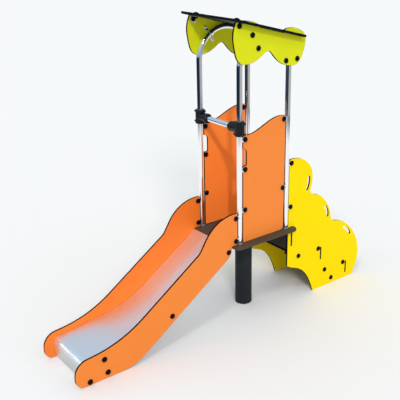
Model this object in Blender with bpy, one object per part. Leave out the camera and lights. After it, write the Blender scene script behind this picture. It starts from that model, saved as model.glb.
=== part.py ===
"""Small playground slide tower: one column, a deck, two tube hoops with panels, a roof, stairs and a straight slide.

Frame: metres, +Z up. The origin is on the ground on the column's axis. The slide runs down towards -Y and the
stairs climb from +Y. The object is symmetric about X = 0: right is +X and left is -X, as seen from the slide's exit.
Outlines of upright panels are lists of (y, z) corners, with the radius that rounds each corner where it has one.
"""

import math

import bmesh
import bpy
from mathutils import Matrix, Vector

# Driving dimensions
GAP = 0.0003
ARC_ERROR = 0.0004
PANEL = 0.015
PANEL_X = 0.240
INNER_FACE = PANEL_X - PANEL / 2
OUTER_FACE = PANEL_X + PANEL / 2
POST = 0.240
TUBE_R = 0.0212
SPRING_Z = 2.030
DECK_TOP = 0.680
BOARD = 0.015
TREAD = 0.020
DECK_HALF = 0.320
DECK_UNDER = DECK_TOP - BOARD
COLUMN_R = 0.070
FRAME_DEPTH = 0.020
SOCKET_DEPTH = 0.014
CANOPY_X = 0.2722
CANOPY_INNER = CANOPY_X - PANEL / 2
ROOF_PITCH = math.radians(14)
ROOF_UNDER_Z = 2.2995
ROOF_HALF_WIDTH = 0.330
ROOF_FRONT = -0.3535
ROOF_BACK = 0.348
ROOF_THICK = 0.018
RAIL_Z = 1.600
CAP_R = 0.0205
CAP_HEIGHT = 0.0135
SHANK_R = 0.005
LUG = 0.005
LUG_R = 0.018
LUG_X = OUTER_FACE + GAP + LUG / 2
STEEL_PLATE = 0.004
CHUTE_SHEET = 0.003
CHUTE_HALF = INNER_FACE - 0.0005
SLIDE_ANGLE = math.radians(34)
TREADS = {"upper": 0.452, "lower": 0.226}
RISERS = {"upper": 0.309, "middle": 0.663, "lower": 0.990}
SIDES = (("left", -1), ("right", 1))

# Bolt places as (y, z) on one side
GUARD_FRONT_BOLTS = ((-0.196, 1.513), (-0.196, 1.280), (-0.196, 0.955))
GUARD_REAR_BOLTS = ((0.192, 1.605), (0.192, 1.045))
SLIDE_POST_BOLTS = ((-0.285, 0.905), (-0.285, 0.718))
STAIR_POST_BOLTS = ((0.283, 1.230), (0.283, 0.859))


# Outlines

def fillet_path(corners, closed=True):
    """The points of a polyline whose corners (u, v, radius) are rounded by arcs, true to ARC_ERROR."""
    points = []
    count = len(corners)
    for i, corner in enumerate(corners):
        here = Vector(corner[:2])
        radius = corner[2] if len(corner) > 2 else 0
        inner = closed or 0 < i < count - 1
        if not radius or not inner:
            points.append(tuple(here))
            continue
        before = (Vector(corners[i - 1][:2]) - here).normalized()
        after = (Vector(corners[(i + 1) % count][:2]) - here).normalized()
        half = before.angle(after) / 2
        centre = here + (before + after).normalized() * radius / math.sin(half)
        start = here + before * radius / math.tan(half) - centre
        turn = math.pi - 2 * half
        sign = 1 if before.cross(after) < 0 else -1
        widest = 2 * math.acos(1 - min(ARC_ERROR / radius, 0.03))
        steps = max(2, math.ceil(turn / widest))
        for k in range(steps + 1):
            points.append(tuple(centre + start @ Matrix.Rotation(-sign * turn * k / steps, 2)))
    return points


def curve_through(knots, per_span=4):
    """Points of a smooth Catmull-Rom curve through the knots."""
    ends = [Vector(knots[0]) * 2 - Vector(knots[1])]
    ends += [Vector(knot) for knot in knots]
    ends.append(Vector(knots[-1]) * 2 - Vector(knots[-2]))
    points = []
    for a, b, c, d in zip(ends, ends[1:], ends[2:], ends[3:]):
        for k in range(per_span):
            t = k / per_span
            bend = 2 * b + (c - a) * t + (2 * a - 5 * b + 4 * c - d) * t ** 2 + (3 * b - a - 3 * c + d) * t ** 3
            points.append(tuple(bend / 2))
    points.append(tuple(knots[-1]))
    return points


def circle(u, v, radius, segments=16):
    turns = [2 * math.pi * k / segments for k in range(segments)]
    return [(u + radius * math.cos(a), v + radius * math.sin(a)) for a in turns]


def rectangle(u0, v0, u1, v1):
    return [(u0, v0), (u1, v0), (u1, v1), (u0, v1)]


def offset_path(path, distance):
    """The open path moved sideways, to its left where distance is positive."""
    moved = []
    for i, point in enumerate(path):
        here = Vector(point)
        before = (here - Vector(path[i - 1])).normalized() if i else None
        after = (Vector(path[i + 1]) - here).normalized() if i + 1 < len(path) else None
        before = before or after
        after = after or before
        normal = (Vector((-before.y, before.x)) + Vector((-after.y, after.x))).normalized()
        mitre = normal.dot(Vector((-after.y, after.x)))
        moved.append(tuple(here + normal * distance / mitre))
    return moved


def strip(path, near, far):
    """The closed outline of the band between two offsets of an open path."""
    return offset_path(path, near) + offset_path(path, far)[::-1]


def bent_slot(start, end, bulge, width):
    """The outline of a curved hand slot with round ends."""
    start = Vector(start)
    end = Vector(end)
    side = Vector((start.y - end.y, end.x - start.x)).normalized()
    spine = []
    for k in range(7):
        t = k / 6
        spine.append(start.lerp(end, t) + side * bulge * 4 * t * (1 - t))
    outline = []
    for path in (spine, spine[::-1]):
        outline += offset_path(path, width / 2)
        last = path[-1]
        along = (last - path[-2]).normalized()
        left = Vector((-along.y, along.x))
        for k in (1, 2, 3):
            a = math.pi * k / 4
            outline.append(tuple(last + (left * math.cos(a) + along * math.sin(a)) * width / 2))
    return outline


# Making objects

def clear_scene():
    for obj in list(bpy.data.objects):
        bpy.data.objects.remove(obj, do_unlink=True)


def material(name, colour, roughness, metallic=0.0):
    made = bpy.data.materials.new(name)
    made.use_nodes = True
    shader = made.node_tree.nodes["Principled BSDF"]
    shader.inputs["Base Color"].default_value = (*colour, 1)
    shader.inputs["Roughness"].default_value = roughness
    shader.inputs["Metallic"].default_value = metallic
    return made


def add(name, mesh, finish):
    obj = bpy.data.objects.new(name, mesh)
    bpy.context.scene.collection.objects.link(obj)
    if finish:
        mesh.materials.append(finish)
    return obj


def place(obj, origin, x_axis, y_axis):
    """Puts the object's own X and Y along two directions at right angles."""
    x_axis = Vector(x_axis)
    y_axis = Vector(y_axis)
    turn = Matrix((x_axis, y_axis, x_axis.cross(y_axis))).transposed().to_4x4()
    obj.matrix_world = Matrix.Translation(origin) @ turn
    return obj


def place_upright(obj, x):
    """Stands an outline of (y, z) points up, centred at x."""
    return place(obj, (x, 0, 0), (0, 1, 0), (0, 0, 1))


def tidy_mesh(mesh):
    shape = bmesh.new()
    shape.from_mesh(mesh)
    bmesh.ops.remove_doubles(shape, verts=shape.verts, dist=1e-6)
    bmesh.ops.recalc_face_normals(shape, faces=shape.faces)
    shape.to_mesh(mesh)
    shape.free()
    return mesh


def mesh_of_curve(curve):
    guide = bpy.data.objects.new(curve.name, curve)
    mesh = bpy.data.meshes.new_from_object(guide)
    bpy.data.objects.remove(guide)
    bpy.data.curves.remove(curve)
    return tidy_mesh(mesh)


def plate_mesh(name, outline, thickness, holes=()):
    """A flat plate about its own XY plane, made from a filled and extruded outline."""
    curve = bpy.data.curves.new(name, "CURVE")
    curve.dimensions = "2D"
    curve.fill_mode = "BOTH"
    curve.extrude = thickness / 2
    for loop in (outline, *holes):
        spline = curve.splines.new("POLY")
        spline.points.add(len(loop) - 1)
        for point, (u, v) in zip(spline.points, loop):
            point.co = (u, v, 0, 1)
        spline.use_cyclic_u = True
    return mesh_of_curve(curve)


def tube_mesh(name, path, radius, sides=16):
    """A round bar along a path of 3D points."""
    curve = bpy.data.curves.new(name, "CURVE")
    curve.dimensions = "3D"
    curve.bevel_depth = radius
    curve.bevel_resolution = (sides - 4) // 2
    curve.use_fill_caps = True
    spline = curve.splines.new("POLY")
    spline.points.add(len(path) - 1)
    for point, co in zip(spline.points, path):
        point.co = (*co, 1)
    return mesh_of_curve(curve)


def turned_mesh(name, profile, segments=16):
    """A solid of revolution about its own Z from a (radius, z) profile that starts and ends on the axis."""
    mesh = bpy.data.meshes.new(name)
    shape = bmesh.new()
    line = [shape.verts.new((r, 0, z)) for r, z in profile]
    edges = [shape.edges.new(pair) for pair in zip(line, line[1:])]
    bmesh.ops.spin(
        shape,
        geom=line + edges,
        axis=(0, 0, 1),
        cent=(0, 0, 0),
        steps=segments,
        angle=2 * math.pi,
    )
    shape.to_mesh(mesh)
    shape.free()
    return tidy_mesh(mesh)


def joined_mesh(name, parts):
    """One mesh of several (mesh, matrix) solids that stay apart."""
    mesh = bpy.data.meshes.new(name)
    shape = bmesh.new()
    for part, matrix in parts:
        copy = part.copy()
        copy.transform(matrix)
        shape.from_mesh(copy)
        bpy.data.meshes.remove(copy)
    shape.to_mesh(mesh)
    shape.free()
    return mesh


def boolean(obj, tool_mesh, operation):
    """Adds or cuts a solid given in the object's own axes."""
    tool = add(f"{obj.name}_{operation.lower()}_tool", tool_mesh, None)
    tool.matrix_world = obj.matrix_world
    tool.hide_render = True
    tool.display_type = "WIRE"
    step = obj.modifiers.new(operation.title(), "BOOLEAN")
    step.operation = operation
    step.solver = "EXACT"
    step.object = tool


def shade_round(obj, degrees=35):
    obj.data.shade_smooth()
    obj.data.set_sharp_from_angle(angle=math.radians(degrees))


# Materials

def make_materials():
    return {
        "orange": material("orange_panel", (0.90, 0.24, 0.05), 0.45),
        "yellow": material("yellow_panel", (1.00, 0.72, 0.02), 0.45),
        "lime": material("lime_panel", (0.62, 0.72, 0.03), 0.45),
        "brown": material("brown_board", (0.075, 0.045, 0.035), 0.75),
        "roof": material("roof_sheet", (0.030, 0.034, 0.045), 0.5),
        "column": material("column_coating", (0.018, 0.020, 0.024), 0.45),
        "steel": material("polished_steel", (0.75, 0.76, 0.77), 0.12, 1.0),
        "chute": material("brushed_steel", (0.70, 0.71, 0.72), 0.32, 1.0),
        "zinc": material("zinc_steel", (0.50, 0.51, 0.52), 0.45, 1.0),
        "clamp": material("black_clamp", (0.012, 0.013, 0.016), 0.4),
        "cap": material("black_cap", (0.010, 0.012, 0.018), 0.35),
    }


# Base and deck

def make_column(finish):
    """A fluted tube with a closed foot. Its head is open under the deck frame."""
    flutes = 24
    depth = 0.0035
    wall = 0.010
    foot = 0.008
    outer = []
    for k in range(flutes):
        for share, sunk in ((0.0, 0), (0.5, 0), (0.62, depth), (0.88, depth)):
            turn = 2 * math.pi * (k + share) / flutes
            radius = COLUMN_R - sunk
            outer.append((radius * math.cos(turn), radius * math.sin(turn)))
    height = DECK_UNDER - FRAME_DEPTH - 2 * GAP
    column = add("column", plate_mesh("column", outer, height), finish["column"])
    column.location.z = height / 2
    bpy.context.view_layer.update()
    bore = plate_mesh("bore", circle(0, 0, COLUMN_R - wall, 24), height)
    bore.transform(Matrix.Translation((0, 0, foot)))
    boolean(column, bore, "DIFFERENCE")


def make_deck_frame(finish):
    """Four arms from the column's head to the posts, with a blind socket for each post."""
    half_width = 0.0255
    reach = math.hypot(POST, POST) + half_width
    corners = []
    for k in range(4):
        along = Vector((1, 1)).normalized() @ Matrix.Rotation(-k * math.pi / 2, 2)
        across = Vector((-along.y, along.x)) * half_width
        corners.append((*(along * reach - across), half_width * 0.98))
        corners.append((*(along * reach + across), half_width * 0.98))
        corners.append((*(along * half_width + across), 0.075))
    mesh = plate_mesh("deck_frame", fillet_path(corners), FRAME_DEPTH)
    obj = add("deck_frame", mesh, finish["zinc"])
    obj.location.z = DECK_UNDER - GAP - FRAME_DEPTH / 2
    bpy.context.view_layer.update()
    socket = plate_mesh("socket", circle(0, 0, TUBE_R + GAP), SOCKET_DEPTH)
    top = FRAME_DEPTH / 2 - SOCKET_DEPTH / 2 + 0.001
    feet = [Matrix.Translation((sx * POST, sy * POST, top)) for sx in (-1, 1) for sy in (-1, 1)]
    boolean(obj, joined_mesh("sockets", [(socket, foot) for foot in feet]), "DIFFERENCE")


def make_deck(finish):
    """The board stands out past the panels, and the stair panels pass through slots in its back edge."""
    slot_in = INNER_FACE - 0.0008
    slot_out = OUTER_FACE + 0.0008
    slot_y = STAIR_FRONT - 0.0008
    half = [
        (DECK_HALF, -DECK_HALF, 0.045),
        (DECK_HALF, DECK_HALF, 0.050),
        (slot_out, DECK_HALF, 0.004),
        (slot_out, slot_y),
        (slot_in, slot_y),
        (slot_in, DECK_HALF, 0.004),
    ]
    mirrored = [(-corner[0], *corner[1:]) for corner in reversed(half)]
    holes = [circle(sx * POST, sy * POST, TUBE_R + 0.0005) for sx in (-1, 1) for sy in (-1, 1)]
    mesh = plate_mesh("deck_board", fillet_path(half + mirrored), BOARD, holes)
    add("deck_board", mesh, finish["brown"]).location.z = DECK_TOP - BOARD / 2


def make_post_collars(finish):
    height = 0.008
    ring = plate_mesh("post_collar", circle(0, 0, 0.0245, 20), height, [circle(0, 0, TUBE_R + GAP)])
    ring.materials.append(finish["steel"])
    for side, sx in SIDES:
        for end, sy in (("front", -1), ("rear", 1)):
            collar = add(f"{side}_{end}_post_collar", ring, None)
            collar.location = (sx * POST, sy * POST, DECK_TOP + GAP + height / 2)


# Hoops, rail and clamps

def lug_outline(post_y, bolt_y, z):
    """A welded lug: a flat bar from the post's axis to a round end about the bolt."""
    way = 1 if bolt_y > post_y else -1
    end = bolt_y + way * LUG_R
    corners = [
        (post_y, z - LUG_R),
        (end, z - LUG_R, LUG_R * 0.98),
        (end, z + LUG_R, LUG_R * 0.98),
        (post_y, z + LUG_R),
    ]
    return fillet_path(corners)


def hoop_bolts():
    """(post y, bolt y, bolt z) of every bolt on one hoop."""
    front = [(-POST, y, z) for y, z in GUARD_FRONT_BOLTS + SLIDE_POST_BOLTS]
    rear = [(POST, y, z) for y, z in GUARD_REAR_BOLTS + STAIR_POST_BOLTS]
    return front + rear


def make_hoops(finish):
    """Each hoop is one bent tube: two posts and a half-round top, with lugs welded on for the panels."""
    foot = DECK_UNDER - GAP - SOCKET_DEPTH + 0.002
    steps = 28
    turns = [math.pi * k / steps for k in range(steps + 1)]
    arc = [(-POST * math.cos(a), SPRING_Z + POST * math.sin(a)) for a in turns]
    path = [(-POST, foot), *arc, (POST, foot)]
    for side, sx in SIDES:
        mesh = tube_mesh("hoop", [(sx * POST, y, z) for y, z in path], TUBE_R)
        hoop = add(f"{side}_hoop", mesh, finish["steel"])
        lugs = []
        shanks = []
        for post_y, y, z in hoop_bolts():
            stand = place_upright(bpy.data.objects.new("stand", None), sx * LUG_X).matrix_world.copy()
            lugs.append((plate_mesh("lug", lug_outline(post_y, y, z), LUG), stand))
            shanks.append((plate_mesh("shank", circle(y, z, SHANK_R + GAP, 12), 4 * LUG), stand))
        boolean(hoop, joined_mesh("lugs", lugs), "UNION")
        boolean(hoop, joined_mesh("shanks", shanks), "DIFFERENCE")
        shade_round(hoop)


def make_rail(finish):
    half = POST - TUBE_R - 0.001
    mesh = tube_mesh("rail", [(-half, -POST, RAIL_Z), (half, -POST, RAIL_Z)], TUBE_R)
    shade_round(add("cross_rail", mesh, finish["steel"]))


def make_rail_clamps(finish):
    """A tee clamp of two half shells round each front post and the rail's end, split on the tubes' common plane."""
    body_r = 0.038
    half_height = 0.055
    arm_end = 0.138
    bore = TUBE_R + 0.0004
    split = 0.0006
    for side, sx in SIDES:
        for half, way in (("front", -1), ("back", 1)):
            sleeve = plate_mesh("sleeve", circle(0, 0, body_r, 24), 2 * half_height)
            shell = add(f"{side}_rail_clamp_{half}", sleeve, finish["clamp"])
            shell.location = (sx * POST, -POST, RAIL_Z)
            bpy.context.view_layer.update()
            arm = tube_mesh("arm", [(0, 0, 0), (-sx * (POST - arm_end), 0, 0)], body_r - 0.001, 24)
            post_bore = plate_mesh("post_bore", circle(0, 0, bore), 4 * half_height)
            rail_bore = tube_mesh("rail_bore", [(0, 0, 0), (-sx * POST, 0, 0)], bore)
            far_half = plate_mesh("far_half", rectangle(-0.2, way * split, 0.2, -way * 0.1), 0.3)
            tidy_mesh(far_half)
            boolean(shell, arm, "UNION")
            boolean(shell, post_bore, "DIFFERENCE")
            boolean(shell, rail_bore, "DIFFERENCE")
            boolean(shell, far_half, "DIFFERENCE")
            shade_round(shell)


# Guard panels

def guard_outline():
    front = -0.210
    rear = 0.2095
    foot = DECK_TOP + 0.004
    low, high = 1.540, 1.636
    dip, crest = -0.170, 0.160
    wave = []
    for k in range(13):
        t = k / 12
        y = crest + (dip - crest) * t
        wave.append((y, (low + high) / 2 + (high - low) / 2 * math.cos(math.pi * t)))
    notch = [(front, 1.443, 0.003), (-0.175, 1.436, 0.034), (-0.174, 1.304, 0.012), (front, 1.302, 0.003)]
    return fillet_path([
        (front, foot, 0.010),
        (rear, foot, 0.030),
        (rear, high - 0.005, 0.008),
        *wave,
        (front, low + 0.002, 0.008),
        *notch,
    ])


def make_guards(finish):
    bolts = GUARD_FRONT_BOLTS + GUARD_REAR_BOLTS
    holes = [circle(y, z, SHANK_R + GAP, 12) for y, z in bolts]
    for side, sx in SIDES:
        mesh = plate_mesh("guard", guard_outline(), PANEL, holes)
        place_upright(add(f"{side}_guard_panel", mesh, finish["orange"]), sx * PANEL_X)


# Slide

def slide_panel_outline():
    """The rear of the panel stands on the deck and is notched round the deck's front edge."""
    rear = -0.266
    nose = -1.692
    deck_front = -DECK_HALF - 0.0008
    foot = DECK_TOP + 0.0008
    return fillet_path([
        (rear, foot, 0.006),
        (rear, 0.943, 0.012),
        (-0.4765, 0.9364, 0.310),
        (-0.622, 0.705, 0.100),
        (-1.320, 0.230, 0.850),
        (nose, 0.198, 0.105),
        (nose, 0.0, 0.075),
        (-1.223, 0.0, 0.350),
        (deck_front, 0.6087, 0.112),
        (deck_front, foot),
    ])


def make_slide_panels(finish):
    holes = [circle(y, z, SHANK_R + GAP, 12) for y, z in SLIDE_POST_BOLTS]
    for side, sx in SIDES:
        mesh = plate_mesh("slide_panel", slide_panel_outline(), PANEL, holes)
        place_upright(add(f"{side}_slide_panel", mesh, finish["orange"]), sx * PANEL_X)


def chute_path():
    """The chute's middle line: a lip down the deck's edge, a 34 degree run, the run-out, the rounded nose, the skirt."""
    lip = -DECK_HALF - GAP - CHUTE_SHEET / 2
    bend = (-0.988, 0.226)
    top = bend[1] + math.tan(SLIDE_ANGLE) * (lip - bend[0])
    return fillet_path([(lip, 0.642), (lip, top, 0.005), (*bend, 0.950), (-1.625, 0.159, 0.060), (-1.602, 0.003)], False)


def make_chute(finish):
    """One folded sheet: the running surface, the nose and a stiffening flange turned down along each side."""
    path = chute_path()
    mesh = plate_mesh("chute", strip(path, -CHUTE_SHEET / 2, CHUTE_SHEET / 2), 2 * CHUTE_HALF)
    chute = place_upright(add("chute", mesh, finish["chute"]), 0)
    bpy.context.view_layer.update()
    run = [point for point in path[1:] if -1.550 < point[0] < -0.330]
    flange = plate_mesh("flange", strip(run, 0.0005, 0.032), CHUTE_SHEET)
    inset = CHUTE_HALF - CHUTE_SHEET / 2 - 0.0004
    flanges = [(flange, Matrix.Translation((0, 0, sx * inset))) for _, sx in SIDES]
    boolean(chute, joined_mesh("flanges", flanges), "UNION")
    shade_round(chute)


def angle_mesh(name, length, upright, foot, thickness=STEEL_PLATE):
    """An angle bar: its own X across (foot), Y up, extruded along Z."""
    outline = [(0, 0), (-foot, 0), (-foot, thickness), (-thickness, thickness), (-thickness, upright), (0, upright)]
    return plate_mesh(name, outline, length)


def make_angle(name, sx, y0, y1, z, upright, foot, finish, hang=False):
    """An angle bar along Y against a panel's inner face. A hanging one has its foot at the top."""
    face = sx * (INNER_FACE - GAP)
    mesh = angle_mesh(name, y1 - y0, upright, foot)
    rise = -1 if hang else 1
    place(add(name, mesh, finish), (face, (y0 + y1) / 2, z), (sx, 0, 0), (0, 0, rise))


def make_slide_anchors(finish):
    for side, sx in SIDES:
        make_angle(f"{side}_slide_anchor", sx, -1.596, -1.415, 0, 0.064, 0.050, finish["zinc"])


# Stairs

STAIR_FRONT = 0.267


def stair_panel_outline():
    """Three cloud-like lobes over an arch, with a straight front edge behind the rear post."""
    top = [(STAIR_FRONT + 0.012, 1.2575), (0.320, 1.2585), (0.398, 1.243), (0.470, 1.196), (0.515, 1.137),
           (0.532, 1.075), (0.529, 1.008), (0.514, 0.956), (0.517, 0.926), (0.550, 0.903), (0.620, 0.878),
           (0.696, 0.810), (0.753, 0.718), (0.775, 0.632), (0.796, 0.602), (0.866, 0.584), (0.956, 0.540),
           (1.052, 0.452), (1.120, 0.338), (1.144, 0.245), (1.145, 0.160), (1.120, 0.074), (1.075, 0.0)]
    arch = [(0.578, 0.0), (0.556, 0.060), (0.523, 0.135), (0.464, 0.218), (0.393, 0.271), (0.305, 0.306)]
    edge = [(STAIR_FRONT, 0.330), (STAIR_FRONT, 1.250)]
    return edge + curve_through(top) + curve_through(arch)


def hand_slots():
    return [
        bent_slot((0.490, 1.066), (0.471, 0.968), 0.008, 0.026),
        bent_slot((0.697, 0.754), (0.729, 0.668), 0.010, 0.026),
        bent_slot((0.948, 0.498), (1.022, 0.425), 0.008, 0.026),
    ]


TENONS = {"upper": (0.502, 0.620), "middle": (0.274, 0.390), "lower": (0.045, 0.160)}


def make_stair_panels(finish):
    slot = BOARD / 2 + 0.0006
    holes = hand_slots()
    for name, y in RISERS.items():
        low, high = TENONS[name]
        holes.append(rectangle(y - slot, low - 0.0006, y + slot, high + 0.0006))
    for side, sx in SIDES:
        mesh = plate_mesh("stair_panel", stair_panel_outline(), PANEL, holes)
        place_upright(add(f"{side}_stair_panel", mesh, finish["yellow"]), sx * PANEL_X)


def make_risers(finish):
    """Boards whose tenons pass through the side panels. The upper one stands on the upper tread."""
    heights = {
        "upper": (TREADS["upper"] + GAP, DECK_UNDER - GAP),
        "middle": (0.195, TREADS["upper"] - TREAD - GAP),
        "lower": (0.012, TREADS["lower"] - TREAD - GAP),
    }
    inside = INNER_FACE - 0.0005
    for name, y in RISERS.items():
        bottom, top = heights[name]
        low, high = TENONS[name]
        half = [(inside, bottom), (inside, low), (OUTER_FACE, low), (OUTER_FACE, high), (inside, high), (inside, top)]
        outline = half + [(-u, v) for u, v in reversed(half)]
        mesh = plate_mesh("riser", outline, BOARD)
        place(add(f"{name}_riser", mesh, finish["brown"]), (0, y, 0), (1, 0, 0), (0, 0, 1))


def tread_ends(name):
    """The upper tread starts under the riser above it, and the lower one behind its riser."""
    half = BOARD / 2
    if name == "upper":
        return RISERS["upper"] - half, RISERS["middle"] + half
    return RISERS["middle"] + half + GAP, RISERS["lower"] + half + 0.004


def make_treads(finish):
    inside = INNER_FACE - 0.0005
    for name, top in TREADS.items():
        y0, y1 = tread_ends(name)
        mesh = plate_mesh("tread", rectangle(-inside, y0, inside, y1), TREAD)
        add(f"{name}_tread", mesh, finish["brown"]).location.z = top - TREAD / 2


def make_tread_cleats(finish):
    lengths = {"upper": (0.362, 0.652), "lower": (0.690, 0.980)}
    for name, top in TREADS.items():
        y0, y1 = lengths[name]
        for side, sx in SIDES:
            under = top - TREAD - GAP
            make_angle(f"{side}_{name}_tread_cleat", sx, y0, y1, under, 0.070, 0.040, finish["zinc"], hang=True)


def make_stair_anchors(finish):
    for side, sx in SIDES:
        make_angle(f"{side}_stair_anchor", sx, 0.750, 0.860, 0, 0.086, 0.060, finish["zinc"])


# Roof and canopy

def roof_under(y):
    return ROOF_UNDER_Z - math.tan(ROOF_PITCH) * y


def canopy_outline():
    """A panel that hangs from the roof, with a low crest and a rear lobe that stand up through slots in it."""
    clear = 0.0006
    above = ROOF_THICK / math.cos(ROOF_PITCH)
    crest_front, crest_rear, lobe_front = -0.235, -0.085, 0.150
    crest = []
    for k in range(7):
        y = crest_front + 0.006 + (crest_rear - crest_front - 0.012) * k / 6
        crest.append((y, roof_under(y) + above + 0.001 + 0.011 * math.sin(math.pi * k / 6)))
    lobe = [(lobe_front + 0.004, roof_under(lobe_front) + above + 0.003), (0.185, 2.293), (0.250, 2.291), (0.318, 2.270),
            (0.362, 2.236), (0.373, 2.187), (0.359, 2.122), (0.330, 2.060), (0.290, 2.022), (0.237, 2.012),
            (0.166, 2.026), (0.113, 2.050), (0.068, 2.086), (0.030, 2.127), (0.004, 2.145), (-0.026, 2.139),
            (-0.062, 2.116), (-0.116, 2.087), (-0.178, 2.071), (-0.236, 2.072), (-0.276, 2.092), (-0.302, 2.132),
            (-0.320, 2.205), (-0.328, 2.270), (-0.320, 2.326), (-0.301, roof_under(-0.301) - clear)]
    top = [(crest_front, roof_under(crest_front) - clear)]
    top += crest
    top.append((crest_rear, roof_under(crest_rear) - clear))
    top.append((lobe_front, roof_under(lobe_front) - clear))
    return top + curve_through(lobe)


def make_canopy_panels(finish):
    for side, sx in SIDES:
        mesh = plate_mesh("canopy", canopy_outline(), PANEL)
        place_upright(add(f"{side}_canopy_panel", mesh, finish["lime"]), sx * CANOPY_X)


def make_roof(finish):
    """A flat sheet, pitched down to the back, that rests on the hoops' tops."""
    slot_in = CANOPY_INNER - 0.001
    slot_out = CANOPY_X + PANEL / 2 + 0.001
    run = 1 / math.cos(ROOF_PITCH)
    crest = (-0.243 * run, -0.077 * run)
    lobe_start = 0.142 * run
    half = [
        (ROOF_HALF_WIDTH, ROOF_FRONT, 0.020),
        (ROOF_HALF_WIDTH, ROOF_BACK, 0.020),
        (slot_out, ROOF_BACK, 0.004),
        (slot_out, lobe_start),
        (slot_in, lobe_start),
        (slot_in, ROOF_BACK, 0.004),
    ]
    mirrored = [(-corner[0], *corner[1:]) for corner in reversed(half)]
    holes = []
    for _, sx in SIDES:
        holes.append(rectangle(sx * slot_in, crest[0], sx * slot_out, crest[1]))
        holes.append(circle(sx * ROOF_BOLT[0], ROOF_BOLT[1], SHANK_R + GAP, 12))
    mesh = plate_mesh("roof", fillet_path(half + mirrored), ROOF_THICK, holes)
    roof = add("roof_sheet", mesh, finish["roof"])
    roof.matrix_world = roof_frame() @ Matrix.Translation((0, 0, ROOF_THICK / 2))


# The roof's own axes have their origin on its underside over the column, and these are in them
ROOF_BOLT = (0.238, -0.272)
BRACKET_WIDTH = 0.050


def roof_frame():
    return Matrix.Translation((0, 0, ROOF_UNDER_Z)) @ Matrix.Rotation(-ROOF_PITCH, 4, "X")


def make_roof_brackets(finish):
    """Angle brackets that join the front of the roof to the canopy panels."""
    hole = circle(-(CANOPY_INNER - GAP - ROOF_BOLT[0]), 0, SHANK_R + GAP, 12)
    for side, sx in SIDES:
        mesh = angle_mesh("roof_bracket", BRACKET_WIDTH, 0.048, 0.048)
        bracket = add(f"{side}_roof_bracket", mesh, finish["zinc"])
        corner = Vector((sx * (CANOPY_INNER - GAP), ROOF_BOLT[1], -GAP))
        frame = roof_frame()
        axes = frame.to_3x3()
        place(bracket, frame @ corner, axes @ Vector((sx, 0, 0)), axes @ Vector((0, 0, -1)))
        bpy.context.view_layer.update()
        shank = plate_mesh("shank", hole, 0.03)
        shank.transform(Matrix.Rotation(math.pi / 2, 4, "X"))
        boolean(bracket, shank, "DIFFERENCE")


def make_saddle_clamps(finish):
    """Straps round the hoop's tube, with ears on the canopy panel's inner face."""
    inner_ear, outer_ear = 0.084, 0.066
    ear = CANOPY_INNER - GAP - 0.0015 - PANEL_X
    wrap = TUBE_R + 0.0020 + 0.0015
    turns = [math.pi + math.pi * k / 10 for k in range(11)]
    path = [(-inner_ear, ear), (-wrap, ear)]
    path += [(wrap * math.cos(a), wrap * math.sin(a)) for a in turns]
    path += [(wrap, ear), (outer_ear, ear)]
    for end, round_hoop, tilt in (("front", 123, 123), ("rear", 7, 4)):
        turn = math.radians(round_hoop)
        centre = Vector((0, math.cos(turn), math.sin(turn))) * POST
        turn = math.radians(tilt)
        away = Vector((0, math.cos(turn), math.sin(turn)))
        for side, sx in SIDES:
            mesh = plate_mesh("saddle", strip(path, -0.0015, 0.0015), 0.024)
            clamp = add(f"{side}_{end}_saddle_clamp", mesh, finish["zinc"])
            place(clamp, Vector((sx * PANEL_X, 0, SPRING_Z)) + centre, away, (sx, 0, 0))
            shade_round(clamp)


# Bolts

def bolt_mesh(name, grip, segments=12):
    """A through bolt with a domed cap on each end, about its own Z. The grip lies between z = -grip and 0."""
    dome = [(CAP_R, 0.0048), (CAP_R * 0.86, 0.0096), (CAP_R * 0.5, 0.0125), (0, CAP_HEIGHT)]
    outer = [(SHANK_R, GAP), (CAP_R, GAP), *dome]
    inner = [(radius, -grip - z) for radius, z in outer]
    return turned_mesh(name, inner[::-1] + outer, segments)


def make_panel_bolts(finish):
    lug_bolt = bolt_mesh("lug_bolt", PANEL + LUG + GAP)
    lug_bolt.materials.append(finish["cap"])
    rows = {"guard_front_bolt": GUARD_FRONT_BOLTS, "guard_rear_bolt": GUARD_REAR_BOLTS, "slide_post_bolt": SLIDE_POST_BOLTS}
    for side, sx in SIDES:
        for name, bolts in rows.items():
            for number, (y, z) in enumerate(bolts, 1):
                bolt = add(f"{side}_{name}_{number}", lug_bolt, None)
                face = sx * (LUG_X + LUG / 2)
                place(bolt, (face, y, z), (0, 1, 0), (0, 0, sx))


def make_roof_bolts(finish):
    mesh = bolt_mesh("roof_bolt", ROOF_THICK + STEEL_PLATE + GAP)
    mesh.materials.append(finish["cap"])
    for side, sx in SIDES:
        bolt = add(f"{side}_roof_bolt", mesh, None)
        bolt.matrix_world = roof_frame() @ Matrix.Translation((sx * ROOF_BOLT[0], ROOF_BOLT[1], ROOF_THICK))


def main():
    clear_scene()
    finish = make_materials()
    make_column(finish)
    make_deck_frame(finish)
    make_deck(finish)
    make_post_collars(finish)
    make_hoops(finish)
    make_rail(finish)
    make_rail_clamps(finish)
    make_guards(finish)
    make_slide_panels(finish)
    make_chute(finish)
    make_slide_anchors(finish)
    make_stair_panels(finish)
    make_risers(finish)
    make_treads(finish)
    make_tread_cleats(finish)
    make_stair_anchors(finish)
    make_canopy_panels(finish)
    make_roof(finish)
    make_roof_brackets(finish)
    make_saddle_clamps(finish)
    make_panel_bolts(finish)
    make_roof_bolts(finish)


main()
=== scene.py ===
"""The looks of a small playground slide tower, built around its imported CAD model.

The frame is the CAD model's: metres, +Z up, the origin on the ground on the column's axis, the slide
towards -Y and the stairs towards +Y. Every piece stays where its CAD node is, and nothing moves, so all
ride on the one body. Bolt places are (y, z) on one side, and both sides are alike.
"""

import math

import bmesh
import bpy
from mathutils import Matrix, Vector


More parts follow.
